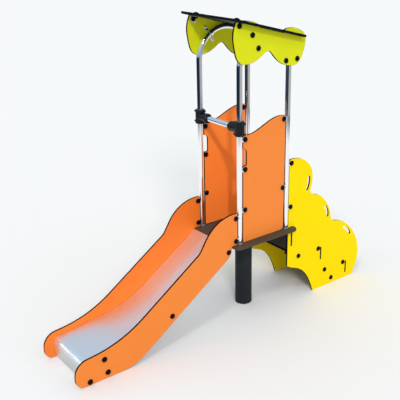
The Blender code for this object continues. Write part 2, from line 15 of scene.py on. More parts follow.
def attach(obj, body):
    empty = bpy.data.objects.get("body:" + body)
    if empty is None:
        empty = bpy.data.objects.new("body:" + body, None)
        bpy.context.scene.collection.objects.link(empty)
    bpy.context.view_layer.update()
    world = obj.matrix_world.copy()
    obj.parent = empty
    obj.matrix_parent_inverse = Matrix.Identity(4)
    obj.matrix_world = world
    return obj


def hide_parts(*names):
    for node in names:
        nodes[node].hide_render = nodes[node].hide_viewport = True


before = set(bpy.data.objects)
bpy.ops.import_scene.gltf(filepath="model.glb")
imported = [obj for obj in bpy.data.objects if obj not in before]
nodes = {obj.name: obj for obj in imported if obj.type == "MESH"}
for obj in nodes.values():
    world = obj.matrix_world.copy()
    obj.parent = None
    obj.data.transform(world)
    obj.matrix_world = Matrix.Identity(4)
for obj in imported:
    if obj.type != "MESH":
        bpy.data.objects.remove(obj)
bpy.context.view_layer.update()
SIDES = (("left", -1), ("right", 1))

# Sizes that the CAD model has, in metres
GAP = 0.0003
PANEL_X = 0.240
PANEL = 0.015
INNER_FACE = PANEL_X - PANEL / 2
OUTER_FACE = PANEL_X + PANEL / 2
POST = 0.240
TUBE_R = 0.0212
SPRING_Z = 2.030
POST_FOOT_Z = 0.6527
DECK_TOP = 0.680
DECK_HALF = 0.320
RAIL_Z = 1.600
LUG = 0.005
LUG_R = 0.018
LUG_X = OUTER_FACE + GAP + LUG / 2
CANOPY_X = 0.2722
CANOPY_INNER = CANOPY_X - PANEL / 2
CANOPY_OUTER = CANOPY_X + PANEL / 2
ROOF_PITCH = math.radians(14)
ROOF_UNDER_Z = 2.2995
ROOF_THICK = 0.018
ROOF_BOLT = (0.238, -0.272)
COLUMN_R = 0.070
COLUMN_HEIGHT = 0.6444
CAP_R = 0.0205
CAP_HEIGHT = 0.0135
SHANK_R = 0.005
STEEL_PLATE = 0.004
SADDLE_STRAP = 0.003
SADDLE_WIDTH = 0.024
CHUTE_SHEET = 0.003
CHUTE_HALF = INNER_FACE - 0.0005
SLIDE_ANGLE = math.radians(34)

LUG_BOLTS = {
    "guard_front_bolt_1": (-0.196, 1.513),
    "guard_front_bolt_2": (-0.196, 1.280),
    "guard_front_bolt_3": (-0.196, 0.955),
    "guard_rear_bolt_1": (0.192, 1.605),
    "guard_rear_bolt_2": (0.192, 1.045),
    "slide_post_bolt_1": (-0.285, 0.905),
    "slide_post_bolt_2": (-0.285, 0.718),
    "stair_post_bolt_1": (0.283, 1.230),
    "stair_post_bolt_2": (0.283, 0.859),
}
PANEL_BOLTS = {
    "chute_bolt_1": (-0.353, 0.641),
    "chute_bolt_2": (-0.889, 0.286),
    "chute_bolt_3": (-1.465, 0.157),
    "slide_anchor_bolt_1": (-1.444, 0.046),
    "slide_anchor_bolt_2": (-1.585, 0.027),
    "upper_cleat_bolt_1": (0.393, 0.387),
    "upper_cleat_bolt_2": (0.629, 0.385),
    "lower_cleat_bolt_1": (0.719, 0.158),
    "lower_cleat_bolt_2": (0.952, 0.157),
    "stair_anchor_bolt": (0.805, 0.053),
}
SADDLE_BOLTS = {
    "front_saddle_bolt_1": (-0.153, 2.273),
    "front_saddle_bolt_2": (-0.097, 2.175),
    "rear_saddle_bolt_1": (0.174, 2.056),
    "rear_saddle_bolt_2": (0.288, 2.060),
}
BRACKET_BOLT = (-0.272, 2.345)

# Each saddle clamp's place round the hoop's arc, and the way its strap's ears lie, in degrees up from +Y
SADDLES = {"front": (123, 123), "rear": (7, 4)}

# The rail clamps. Each screw is (towards the rail, up) from the crossing of the tubes
CLAMP_R = 0.038
CLAMP_HALF_HEIGHT = 0.055
CLAMP_ARM = 0.102
CLAMP_BOSS = 0.022
CLAMP_SCREWS = ((0.037, 0.043), (0.037, -0.043), (-0.037, 0.040), (-0.037, -0.040))

# The widths of the rounded edges on the pieces that are made from their CAD nodes
PANEL_EDGE = 0.0018
ROOF_EDGE = 0.0020
DECK_EDGE = 0.0016
RISER_EDGE = 0.0010
TREAD_EDGE = 0.0022
STEEL_EDGE = 0.0012
ANGLE_EDGE = 0.0009

# Camera and lights. Each sun's direction is the one in which it shines
CAMERA_AT = (4.139, -3.457, 2.987)
CAMERA_YAW = 50.5214
CAMERA_PITCH = 19.7074
CAMERA_ROLL = -0.063
CAMERA_LENS = 64.38
CAMERA_SENSOR = 36
CAMERA_SHIFT = (-0.0973, -0.0418)
KEY_TOWARDS = (-1.07, 0.658, -1.0)
TOP_TOWARDS = (-1.0, 1.66, -2.33)
FILL_TOWARDS = (-1.0, 0.55, -0.67)
NOSE_TOWARDS = (0.775, 0.590, -0.225)
KEY = 1.10
TOP = 0.42
FILL = 0.32
TOP_ON_FLOOR = 0.55
FILL_ON_FLOOR = 1.30
NOSE_LIGHT = 0.20
DOME = 0.87
DOME_COLOUR = (0.90, 0.972, 1.02)
WHITE = (1.0, 1.0, 1.0)

# The floor, as the camera sees it and as the light that bounces off it
FLOOR_R = 80
FLOOR_Z = -0.0008
FLOOR_TONE = (0.82, 0.80, 0.785)
FLOOR_BOUNCE = (0.57, 0.51, 0.45)

# What steel mirrors: a patch of floor that turns dark between two radii, and a horizon with a bright side
PATCH_Z = -0.0004
PATCH_R = (5.0, 6.6)
BRIGHT_SIDE = (0.617, 0.787, 0.0)


# Small helpers for shaders

def new_material(name):
    made = bpy.data.materials.new(name)
    made.use_nodes = True
    shader = made.node_tree.nodes["Principled BSDF"]
    return made, made.node_tree, shader


def add_node(tree, kind, **settings):
    node = tree.nodes.new(kind)
    for key, value in settings.items():
        if hasattr(node, key):
            setattr(node, key, value)
        else:
            node.inputs[key.replace("_", " ")].default_value = value
    return node


def noise(tree, place, scale, detail=2.0, roughness=0.5, stretch=(1, 1, 1)):
    """The factor output of noise in metres, stretched along an axis where stretch is below 1."""
    mapping = add_node(tree, "ShaderNodeMapping")
    mapping.inputs["Scale"].default_value = stretch
    tree.links.new(place, mapping.inputs["Vector"])
    made = add_node(tree, "ShaderNodeTexNoise", Scale=scale, Detail=detail, Roughness=roughness)
    tree.links.new(mapping.outputs["Vector"], made.inputs["Vector"])
    return made.outputs["Fac"]


def remap(tree, value, low, high, start=0.3, end=0.7):
    """Takes start..end, by default most of a noise's range, to low..high."""
    made = add_node(tree, "ShaderNodeMapRange")
    made.inputs["From Min"].default_value = start
    made.inputs["From Max"].default_value = end
    made.inputs["To Min"].default_value = low
    made.inputs["To Max"].default_value = high
    tree.links.new(value, made.inputs["Value"])
    return made.outputs["Result"]


def mix_colour(tree, factor, first, second):
    """A blend of two colours. The Mix node's colour sockets come after those for numbers and vectors."""
    made = add_node(tree, "ShaderNodeMix", data_type="RGBA")
    factor_in, first_in, second_in = (made.inputs[i] for i in (0, 6, 7))
    for socket, value in ((factor_in, factor), (first_in, first), (second_in, second)):
        if isinstance(value, bpy.types.NodeSocket):
            tree.links.new(value, socket)
        else:
            socket.default_value = (*value, 1) if isinstance(value, tuple) else value
    return made.outputs[2]


def bump(tree, height, strength, distance):
    made = add_node(tree, "ShaderNodeBump")
    made.inputs["Strength"].default_value = strength
    made.inputs["Distance"].default_value = distance
    tree.links.new(height, made.inputs["Height"])
    return made.outputs["Normal"]


def object_place(tree):
    return add_node(tree, "ShaderNodeTexCoord").outputs["Object"]


def shade(colour, factor):
    return tuple(channel * factor for channel in colour)


# Materials

def laminate_face(name, colour, roughness=0.42, specular=0.16):
    """A satin laminate: faint mottling, darker flecks, a fine grained surface and duller patches."""
    made, tree, shader = new_material(name)
    place = object_place(tree)
    mottle = remap(tree, noise(tree, place, 6, 4), 0, 1)
    tone = mix_colour(tree, mottle, shade(colour, 0.965), colour)
    fleck = remap(tree, noise(tree, place, 420, 2), 0, 0.10, 0.55, 0.80)
    tone = mix_colour(tree, fleck, tone, shade(colour, 0.80))
    tree.links.new(tone, shader.inputs["Base Color"])
    dull = remap(tree, noise(tree, place, 9, 5, 0.6), roughness - 0.02, roughness + 0.03)
    tree.links.new(dull, shader.inputs["Roughness"])
    grain = noise(tree, place, 900, 3, 0.6)
    tree.links.new(bump(tree, grain, 0.12, 0.0004), shader.inputs["Normal"])
    shader.inputs["Specular IOR Level"].default_value = specular
    return made


def laminate_core(name, colour, across=(4, 0.05, 0.05)):
    """The near-black core that a cut laminate edge shows, with its pressed layers along the cut."""
    made, tree, shader = new_material(name)
    place = object_place(tree)
    layers = noise(tree, place, 260, 2, 0.5, across)
    tone = mix_colour(tree, remap(tree, layers, 0, 1), shade(colour, 0.7), shade(colour, 1.4))
    tree.links.new(tone, shader.inputs["Base Color"])
    tree.links.new(bump(tree, layers, 0.15, 0.0005), shader.inputs["Normal"])
    shader.inputs["Roughness"].default_value = 0.60
    shader.inputs["Specular IOR Level"].default_value = 0.04
    return made


def board_face(name, colour):
    """Dark non-slip board: a fine raised pattern, and dust and wear in large patches."""
    made, tree, shader = new_material(name)
    place = object_place(tree)
    patch = remap(tree, noise(tree, place, 7, 5, 0.6), 0, 1)
    tone = mix_colour(tree, patch, shade(colour, 0.85), shade(colour, 1.2))
    fleck = remap(tree, noise(tree, place, 300, 2), 0, 0.5, 0.5, 0.75)
    tone = mix_colour(tree, fleck, tone, shade(colour, 1.6))
    tree.links.new(tone, shader.inputs["Base Color"])
    cells = add_node(tree, "ShaderNodeTexVoronoi", Scale=260.0)
    tree.links.new(place, cells.inputs["Vector"])
    knobs = remap(tree, cells.outputs["Distance"], 1, 0, 0.2, 0.6)
    tree.links.new(bump(tree, knobs, 0.35, 0.0006), shader.inputs["Normal"])
    shader.inputs["Roughness"].default_value = 0.68
    shader.inputs["Specular IOR Level"].default_value = 0.25
    return made


def polished_steel(name, roughness, colour=(0.92, 0.93, 0.94), stretch=(1, 1, 0.04)):
    """Polished tube: fine lengthwise polishing marks and a faint haze in patches."""
    made, tree, shader = new_material(name)
    place = object_place(tree)
    marks = noise(tree, place, 500, 3, 0.6, stretch)
    haze = noise(tree, place, 12, 4)
    rough = remap(tree, haze, roughness * 0.8, roughness * 1.5)
    tree.links.new(rough, shader.inputs["Roughness"])
    tree.links.new(bump(tree, marks, 0.02, 0.0002), shader.inputs["Normal"])
    tone = mix_colour(tree, remap(tree, marks, 0, 1), shade(colour, 0.96), colour)
    tree.links.new(tone, shader.inputs["Base Color"])
    shader.inputs["Metallic"].default_value = 1.0
    return made


def brushed_steel(name, roughness=0.44, colour=(0.90, 0.89, 0.89)):
    """Brushed sheet: marks run down the chute, with lighter rubbed streaks along it."""
    made, tree, shader = new_material(name)
    place = object_place(tree)
    marks = noise(tree, place, 700, 4, 0.65, (1, 0.02, 0.02))
    streaks = noise(tree, place, 40, 4, 0.6, (1, 0.06, 0.06))
    rough = remap(tree, streaks, roughness * 0.88, roughness * 1.15)
    tree.links.new(rough, shader.inputs["Roughness"])
    tone = mix_colour(tree, remap(tree, marks, 0, 1), shade(colour, 0.90), colour)
    tree.links.new(tone, shader.inputs["Base Color"])
    tree.links.new(bump(tree, marks, 0.10, 0.0002), shader.inputs["Normal"])
    shader.inputs["Metallic"].default_value = 1.0
    return made


def zinc_plate(name):
    """Zinc plating: a spangled grey with dull patches."""
    made, tree, shader = new_material(name)
    place = object_place(tree)
    cells = add_node(tree, "ShaderNodeTexVoronoi", Scale=120.0)
    tree.links.new(place, cells.inputs["Vector"])
    grain = remap(tree, cells.outputs["Color"], 0, 1, 0.2, 0.8)
    tone = mix_colour(tree, grain, (0.50, 0.51, 0.53), (0.62, 0.63, 0.65))
    tree.links.new(tone, shader.inputs["Base Color"])
    rough = remap(tree, noise(tree, place, 25, 4), 0.34, 0.52)
    tree.links.new(rough, shader.inputs["Roughness"])
    shader.inputs["Metallic"].default_value = 1.0
    return made


def coating(name, colour, roughness, grain_scale, grain_depth, specular=0.35):
    """Powder coat or moulded plastic: an orange-peel surface and faint dust."""
    made, tree, shader = new_material(name)
    place = object_place(tree)
    dust = remap(tree, noise(tree, place, 14, 5, 0.6), 0, 1)
    tone = mix_colour(tree, dust, colour, shade(colour, 1.35))
    tree.links.new(tone, shader.inputs["Base Color"])
    rough = remap(tree, noise(tree, place, 30, 3), roughness - 0.04, roughness + 0.06)
    tree.links.new(rough, shader.inputs["Roughness"])
    peel = noise(tree, place, grain_scale, 2)
    tree.links.new(bump(tree, peel, 0.3, grain_depth), shader.inputs["Normal"])
    shader.inputs["Specular IOR Level"].default_value = specular
    return made


MATERIALS = {
    "orange_panel": laminate_face("orange_laminate", (0.89, 0.246, 0.038)),
    # Copies of the orange for the panels' inner faces, with painted light: brighter on the guards for the
    # bounce between them, deeper on the slide for painted shade
    "orange_guard_painted_bounce_light": laminate_face("orange_guard_painted_bounce_light", (1.0, 0.252, 0.036)),
    "orange_slide_painted_shade": laminate_face("orange_slide_painted_shade", (0.90, 0.212, 0.026)),
    "yellow_panel": laminate_face("yellow_laminate", (0.98, 0.735, 0.001), 0.42, 0.03),
    "lime_panel": laminate_face("lime_laminate", (0.70, 0.74, 0.008), 0.42, 0.10),
    "roof_sheet": laminate_face("roof_laminate", (0.010, 0.014, 0.020), 0.50, 0.08),
    "brown_board": board_face("brown_board", (0.066, 0.048, 0.032)),
    # The risers are the deck's brown board darkened: painted shade for the shade they stand in under the
    # deck
    "dark_riser_painted_shade": board_face("dark_riser_painted_shade", (0.030, 0.021, 0.016)),
    "core": laminate_core("laminate_core", (0.0025, 0.0028, 0.0070)),
    "roof_core": laminate_core("roof_core", (0.0035, 0.0065, 0.011), (0.05, 1, 4)),
    "polished_steel": polished_steel("polished_steel", 0.06),
    "rail_steel": polished_steel("rail_steel", 0.06, stretch=(0.04, 1, 1)),
    "brushed_steel": brushed_steel("brushed_chute_steel"),
    "zinc_steel": zinc_plate("zinc_steel"),
    "bright_nut": polished_steel("bright_nut_steel", 0.22, (0.90, 0.90, 0.92), (1, 1, 1)),
    "column_coating": coating("column_powder_coat", (0.009, 0.0125, 0.0155), 0.46, 700, 0.0003, 0.26),
    "black_clamp": coating("clamp_coating", (0.004, 0.005, 0.007), 0.34, 500, 0.0005, 0.30),
    "black_cap": coating("cap_plastic", (0.0012, 0.0016, 0.0034), 0.30, 1400, 0.0001, 0.10),
}


# Shapes, each made as a bmesh in metres

def loft(rings, closed_ring=True, caps=True):
    """Quads between successive rings of points, with the first and the last ring filled."""
    shape = bmesh.new()
    rows = [[shape.verts.new(point) for point in ring] for ring in rings]
    for near, far in zip(rows, rows[1:]):
        count = len(near) if closed_ring else len(near) - 1
        for i in range(count):
            j = (i + 1) % len(near)
            shape.faces.new((near[i], near[j], far[j], far[i]))
    if caps:
        shape.faces.new(rows[0][::-1])
        shape.faces.new(rows[-1])
    bmesh.ops.recalc_face_normals(shape, faces=shape.faces)
    return shape


def swept(path, outline, up):
    """An outline of (side, up) offsets swept along a path in one plane, whose normal is up."""
    path = [Vector(point) for point in path]
    up = Vector(up).normalized()
    rings = []
    for i, here in enumerate(path):
        before = (here - path[i - 1]).normalized() if i else (path[1] - here).normalized()
        after = (path[i + 1] - here).normalized() if i + 1 < len(path) else before
        along = (before + after).normalized()
        side = along.cross(up).normalized()
        stretch = 1 / max(0.5, along.dot(before))
        rings.append([here + side * u * stretch + up * v for u, v in outline])
    return loft(rings)


def round_outline(radius, sides):
    turns = [2 * math.pi * k / sides for k in range(sides)]
    return [(radius * math.cos(a), radius * math.sin(a)) for a in turns]


def lathe(profile, segments=40):
    """A solid of revolution about Z from a (radius, z) profile that starts and ends on the axis."""
    shape = bmesh.new()
    low, high = (shape.verts.new((0, 0, z)) for _, z in (profile[0], profile[-1]))
    step = Matrix.Rotation(2 * math.pi / segments, 3, "Z")
    ribs = [[shape.verts.new((r, 0, z)) for r, z in profile[1:-1]]]
    while len(ribs) < segments:
        ribs.append([shape.verts.new(step @ vert.co) for vert in ribs[-1]])
    ribs = [[low, *rib, high] for rib in ribs]
    for rib, other in zip(ribs, ribs[1:] + ribs[:1]):
        for corners in zip(rib, rib[1:], other[1:], other):
            # A face at the axis has one corner twice, which makes it a triangle
            shape.faces.new(dict.fromkeys(corners))
    bmesh.ops.recalc_face_normals(shape, faces=shape.faces)
    return shape


def ring_lathe(profile, segments=48):
    """A solid of revolution from a closed (radius, z) profile that stays off the axis."""
    turns = [2 * math.pi * k / segments for k in range(segments)]
    rings = [[(r * math.cos(a), r * math.sin(a), z) for r, z in profile] for a in turns]
    return loft(rings + rings[:1], caps=False)


def prism(outline, low, high):
    """An outline of (x, y) points, extruded from z = low to z = high."""
    return loft([[(x, y, z) for x, y in outline] for z in (low, high)])


def joined(*parts):
    """One shape of several, each given as a shape or as (shape, matrix)."""
    whole = bmesh.new()
    for part in parts:
        shape, matrix = part if isinstance(part, tuple) else (part, Matrix())
        mesh = bpy.data.meshes.new("part")
        shape.transform(matrix)
        shape.to_mesh(mesh)
        shape.free()
        whole.from_mesh(mesh)
        bpy.data.meshes.remove(mesh)
    return whole


def shape_of_node(node):
    """The CAD node as a shape with its flat faces made whole again."""
    shape = bmesh.new()
    shape.from_mesh(nodes[node].data)
    bmesh.ops.remove_doubles(shape, verts=shape.verts, dist=2e-5)
    bmesh.ops.dissolve_limit(shape, angle_limit=math.radians(0.4), verts=shape.verts, edges=shape.edges)
    return shape


def round_edges(shape, width, segments=3, least=math.radians(30)):
    edges = [edge for edge in shape.edges if edge.calc_face_angle(0) > least]
    bmesh.ops.bevel(
        shape,
        geom=edges,
        offset=width,
        segments=segments,
        profile=0.5,
        affect="EDGES",
        clamp_overlap=True,
        material=-1,
    )
    return shape


def carved(base, *steps):
    """The base shape after boolean steps, each given as (operation, shape)."""
    scene = bpy.context.scene.collection
    made = []
    for shape in (base, *(step[1] for step in steps)):
        mesh = bpy.data.meshes.new("carving")
        shape.to_mesh(mesh)
        shape.free()
        obj = bpy.data.objects.new("carving", mesh)
        scene.objects.link(obj)
        made.append(obj)
    for (operation, _), tool in zip(steps, made[1:]):
        step = made[0].modifiers.new(operation, "BOOLEAN")
        step.operation = operation
        step.solver = "EXACT"
        step.object = tool
    result = bmesh.new()
    result.from_object(made[0], bpy.context.evaluated_depsgraph_get())
    for obj in made:
        mesh = obj.data
        bpy.data.objects.remove(obj)
        bpy.data.meshes.remove(mesh)
    return result


# Making pieces

def finish_piece(obj, slot, *replaced):
    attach(obj, "root")
    if replaced:
        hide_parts(*replaced)
    return obj


def new_piece(name, shape, materials, slot, *replaced):
    mesh = bpy.data.meshes.new(name)
    shape.to_mesh(mesh)
    shape.free()
    for material in materials:
        mesh.materials.append(material)
    obj = bpy.data.objects.new(name, mesh)
    bpy.context.scene.collection.objects.link(obj)
    return finish_piece(obj, slot, *replaced)


def smooth_piece(name, shape, slot, *replaced, finish=None, degrees=32):
    """A piece of one material, shaded smooth but for its sharp edges."""
    obj = new_piece(name, shape, (MATERIALS[finish or slot],), slot, *replaced)
    obj.data.shade_smooth()
    obj.data.set_sharp_from_angle(angle=math.radians(degrees))
    return obj


def plate_piece(name, node, across, face, cut, slot, edge=PANEL_EDGE, rim=None, inside=None):
    """A panel from its CAD node: face on its flats, cut on its cut edges, and rim on its rounded edges.

    A flat that faces the object's middle plane takes the inside material where one is given: a copy of
    the face colour with painted light and shade in it.
    """
    face_index, cut_index, rim_index, painted_inside_index = range(4)
    shape = round_edges(shape_of_node(node), edge)
    across = Vector(across).normalized()
    for polygon in shape.faces:
        facing = abs(polygon.normal.dot(across))
        flat = facing > 0.995
        if flat and polygon.normal.x * polygon.calc_center_median().x < 0:
            polygon.material_index = painted_inside_index
        elif flat:
            polygon.material_index = face_index
        else:
            polygon.material_index = rim_index if facing > 0.05 else cut_index
        polygon.smooth = not flat
    return new_piece(name, shape, (face, cut, rim or cut, inside or face), slot, node)


def bolt_axes(sx, x, y, z):
    """Places a shape with its own Z pointing out of the side sx."""
    turn = Matrix(((0, 1, 0), (0, 0, sx), (sx, 0, 0))).transposed().to_4x4()
    return Matrix.Translation((sx * x, y, z)) @ turn


# Camera, floor and light

def set_camera():
    yaw = math.radians(CAMERA_YAW)
    pitch = math.radians(CAMERA_PITCH)
    data = bpy.data.cameras.new("camera")
    data.lens = CAMERA_LENS
    data.sensor_width = CAMERA_SENSOR
    data.shift_x, data.shift_y = CAMERA_SHIFT
    camera = bpy.data.objects.new("camera", data)
    bpy.context.scene.collection.objects.link(camera)
    turn = Matrix.Rotation(yaw, 4, "Z") @ Matrix.Rotation(math.pi / 2 - pitch, 4, "X")
    roll = Matrix.Rotation(math.radians(CAMERA_ROLL), 4, "Z")
    camera.matrix_world = Matrix.Translation(CAMERA_AT) @ turn @ roll
    bpy.context.scene.camera = camera


def sun(name, towards, strength, degrees, colour=WHITE, shadow=True):
    data = bpy.data.lights.new(name, "SUN")
    data.energy = strength
    data.angle = math.radians(degrees)
    data.color = colour
    data.use_shadow = shadow
    light = bpy.data.objects.new(name, data)
    light.rotation_euler = Vector(towards).to_track_quat("-Z", "Y").to_euler()
    bpy.context.scene.collection.objects.link(light)
    return light


def light_only(light, obj, state):
    """Lights only obj where state is INCLUDE, and everything but obj where it is EXCLUDE."""
    group = bpy.data.collections.new(f"{light.name}_group")
    group.objects.link(obj)
    group.collection_objects[0].light_linking.link_state = state
    light.light_linking.receiver_collection = group


def disc(name, radius, height, material):
    shape = bmesh.new()
    bmesh.ops.create_circle(shape, cap_ends=True, segments=96, radius=radius)
    mesh = bpy.data.meshes.new(name)
    shape.to_mesh(mesh)
    shape.free()
    mesh.materials.append(material)
    obj = bpy.data.objects.new(name, mesh)
    obj.location.z = height
    bpy.context.scene.collection.objects.link(obj)
    return obj


def floor_material():
    """Pale to the camera, and a darker grey to the light that bounces off it onto the object."""
    made, tree, shader = new_material("studio_floor")
    rays = add_node(tree, "ShaderNodeLightPath")
    tone = mix_colour(tree, rays.outputs["Is Camera Ray"], FLOOR_BOUNCE, FLOOR_TONE)
    tree.links.new(tone, shader.inputs["Base Color"])
    shader.inputs["Roughness"].default_value = 0.9
    shader.inputs["Specular IOR Level"].default_value = 0.0
    return made


def patch_material():
    """A glowing patch standing in for the floor that steel mirrors: painted shade in grey near the
    object, then white, and dark at its rim.
    """
    made, tree, _ = new_material("mirrored_floor")
    place = object_place(tree)
    length = add_node(tree, "ShaderNodeVectorMath", operation="LENGTH")
    tree.links.new(place, length.inputs[0])
    share = remap(tree, length.outputs["Value"], 0, 1, *PATCH_R)
    narrow = add_node(tree, "ShaderNodeMapping")
    narrow.inputs["Scale"].default_value = (1.0, 0.30, 1.0)
    tree.links.new(place, narrow.inputs["Vector"])
    beside = add_node(tree, "ShaderNodeVectorMath", operation="LENGTH")
    tree.links.new(narrow.outputs["Vector"], beside.inputs[0])
    # Painted shade: the floor that steel mirrors turns grey close beside the object's long axis
    clear = remap(tree, beside.outputs["Value"], 0, 1, 0.35, 0.85)
    floor_with_painted_shade = mix_colour(tree, clear, (0.42, 0.44, 0.46), (0.99, 1.0, 1.0))
    tone = mix_colour(tree, share, floor_with_painted_shade, (0.05, 0.085, 0.12))
    glow = add_node(tree, "ShaderNodeEmission")
    tree.links.new(tone, glow.inputs["Color"])
    tree.links.new(glow.outputs["Emission"], tree.nodes["Material Output"].inputs["Surface"])
    return made


def set_world():
    """A soft dome with a white backdrop. Steel mirrors a pale blue sky, dark on one side low down."""
    world = bpy.data.worlds.new("studio")
    bpy.context.scene.world = world
    world.use_nodes = True
    tree = world.node_tree
    dome = tree.nodes["Background"]
    dome.inputs["Color"].default_value = (*DOME_COLOUR, 1)
    dome.inputs["Strength"].default_value = DOME
    way = add_node(tree, "ShaderNodeTexCoord").outputs["Generated"]
    height = add_node(tree, "ShaderNodeSeparateXYZ")
    tree.links.new(way, height.inputs[0])
    side = add_node(tree, "ShaderNodeVectorMath", operation="DOT_PRODUCT")
    side.inputs[1].default_value = BRIGHT_SIDE
    tree.links.new(way, side.inputs[0])
    share = remap(tree, side.outputs["Value"], 0, 1, 0.05, 0.40)
    low = mix_colour(tree, share, (0.010, 0.022, 0.045), (0.46, 0.47, 0.48))
    lift = remap(tree, height.outputs["Z"], 0, 1, 0.05, 0.85)
    sky = mix_colour(tree, lift, (0.26, 0.44, 0.66), (0.62, 0.74, 0.86))
    above = remap(tree, height.outputs["Z"], 0, 1, -0.015, 0.03)
    mirrored = add_node(tree, "ShaderNodeBackground", Strength=1.0)
    tree.links.new(mix_colour(tree, above, low, sky), mirrored.inputs["Color"])
    rays = add_node(tree, "ShaderNodeLightPath")
    choice = add_node(tree, "ShaderNodeMixShader")
    tree.links.new(rays.outputs["Is Glossy Ray"], choice.inputs[0])
    tree.links.new(dome.outputs[0], choice.inputs[1])
    tree.links.new(mirrored.outputs[0], choice.inputs[2])
    backdrop = add_node(tree, "ShaderNodeBackground", Strength=1.0)
    backdrop.inputs["Color"].default_value = (*WHITE, 1)
    seen = add_node(tree, "ShaderNodeMixShader")
    tree.links.new(rays.outputs["Is Camera Ray"], seen.inputs[0])
    tree.links.new(choice.outputs[0], seen.inputs[1])
    tree.links.new(backdrop.outputs[0], seen.inputs[2])
    tree.links.new(seen.outputs[0], tree.nodes["World Output"].inputs["Surface"])


def set_stage():
    """A wide pale floor, the patch that steel mirrors, a soft dome, and suns from the front.

    The floor has its own suns, so that its shadows can be softer than those on the object.
    """
    floor = disc("floor", FLOOR_R, FLOOR_Z, floor_material())
    floor.visible_glossy = False
    patch = disc("mirrored_patch", PATCH_R[1], PATCH_Z, patch_material())
    for kind in ("camera", "diffuse", "transmission", "volume_scatter", "shadow"):
        setattr(patch, f"visible_{kind}", False)
    set_world()
    key = sun("key_light", KEY_TOWARDS, KEY, 3.0, (1.04, 0.985, 0.94))
    top = sun("top_light", TOP_TOWARDS, TOP, 4.0, (1.0, 0.985, 0.96))
    floor_top = sun("floor_top_light", TOP_TOWARDS, TOP_ON_FLOOR, 8.0, (1.0, 0.97, 0.93))
    floor_fill = sun("floor_fill_light", FILL_TOWARDS, FILL_ON_FLOOR, 14.0)
    fill = sun("fill_light", FILL_TOWARDS, FILL, 5.0, shadow=False)
    for light in (key, top, fill):
        light_only(light, floor, "EXCLUDE")
    for light in (floor_top, floor_fill):
        light_only(light, floor, "INCLUDE")
    view = bpy.context.scene.view_settings
    view.view_transform = "Standard"
    view.look = "None"


set_camera()
set_stage()


# Panels and boards

UPRIGHT = (1, 0, 0)
LEVEL = (0, 0, 1)
ALONG = (0, 1, 0)
ROOF_NORMAL = (0, math.sin(ROOF_PITCH), math.cos(ROOF_PITCH))
PANEL_SLOTS = {
    "guard_panel": "orange_panel",
    "slide_panel": "orange_panel",
    "stair_panel": "yellow_panel",
    "canopy_panel": "lime_panel",
}
# Inner faces with painted light: a brighter orange on the guards for bounce light, a deeper one on the
# slide for painted shade
PAINTED_INSIDE_LIGHT = {"guard_panel": "orange_guard_painted_bounce_light", "slide_panel": "orange_slide_painted_shade"}


def make_plates():
    """Every panel, the roof, the deck, the risers and the treads, each from its CAD node."""
    core = MATERIALS["core"]
    roof_core = MATERIALS["roof_core"]
    brown = MATERIALS["brown_board"]
    # The risers take a darker copy of the brown board, which is painted shade
    riser = MATERIALS["dark_riser_painted_shade"]
    roof = MATERIALS["roof_sheet"]
    for side, _ in SIDES:
        for part, slot in PANEL_SLOTS.items():
            node = f"{side}_{part}"
            # inside is the panel's copy of its colour with painted light and shade for its inner face,
            # where it has one
            inside = MATERIALS.get(PAINTED_INSIDE_LIGHT.get(part))
            plate_piece(f"{node}_laminate", node, UPRIGHT, MATERIALS[slot], core, slot, inside=inside)
    plate_piece("roof_laminate", "roof_sheet", ROOF_NORMAL, roof, roof_core, "roof_sheet", ROOF_EDGE)
    plate_piece("deck_planking", "deck_board", LEVEL, brown, brown, "brown_board", DECK_EDGE, core)
    for level in ("upper", "middle", "lower"):
        node = f"{level}_riser"
        plate_piece(f"{node}_planking", node, ALONG, riser, core, "brown_board", RISER_EDGE)
    for level in ("upper", "lower"):
        node = f"{level}_tread"
        plate_piece(f"{node}_planking", node, LEVEL, brown, core, "brown_board", TREAD_EDGE)


# Column and deck frame

def make_column():
    """A round tube with soft flutes. Its head is open under the deck frame."""
    flutes = 24
    depth = 0.0032
    wall = 0.010
    open_depth = 0.10
    break_edge = 0.0012
    steps = 12
    outer = []
    inner = []
    for k in range(flutes * steps):
        turn = 2 * math.pi * k / (flutes * steps)
        groove = (0.5 - 0.5 * math.cos(turn * flutes)) ** 2
        outer.append((COLUMN_R - depth * groove, turn))
        inner.append((COLUMN_R - wall, turn))
    levels = [
        (outer, break_edge, 0.0),
        (outer, 0.0, break_edge),
        (outer, 0.0, COLUMN_HEIGHT - break_edge),
        (outer, break_edge, COLUMN_HEIGHT),
        (inner, 0.0, COLUMN_HEIGHT),
        (inner, 0.0, COLUMN_HEIGHT - open_depth),
    ]
    rings = []
    for ring, cut, z in levels:
        rings.append([((r - cut) * math.cos(a), (r - cut) * math.sin(a), z) for r, a in ring])
    smooth_piece("column_tube", loft(rings), "column_coating", "column", degrees=40)


def make_deck_frame():
    shape = round_edges(shape_of_node("deck_frame"), STEEL_EDGE, 2)
    smooth_piece("deck_frame_steel", shape, "zinc_steel", "deck_frame")


# Hoops, lugs, rail, collars and clamps

def hoop_path(x):
    """The tube's middle line: up the front post, over the half-round top and down the rear post."""
    steps = 60
    rises = 12
    turns = [math.pi * k / steps for k in range(steps + 1)]
    arc = [(x, -POST * math.cos(a), SPRING_Z + POST * math.sin(a)) for a in turns]
    posts = [POST_FOOT_Z + (SPRING_Z - POST_FOOT_Z) * k / rises for k in range(rises)]
    return [(x, -POST, z) for z in posts] + arc + [(x, POST, z) for z in reversed(posts)]


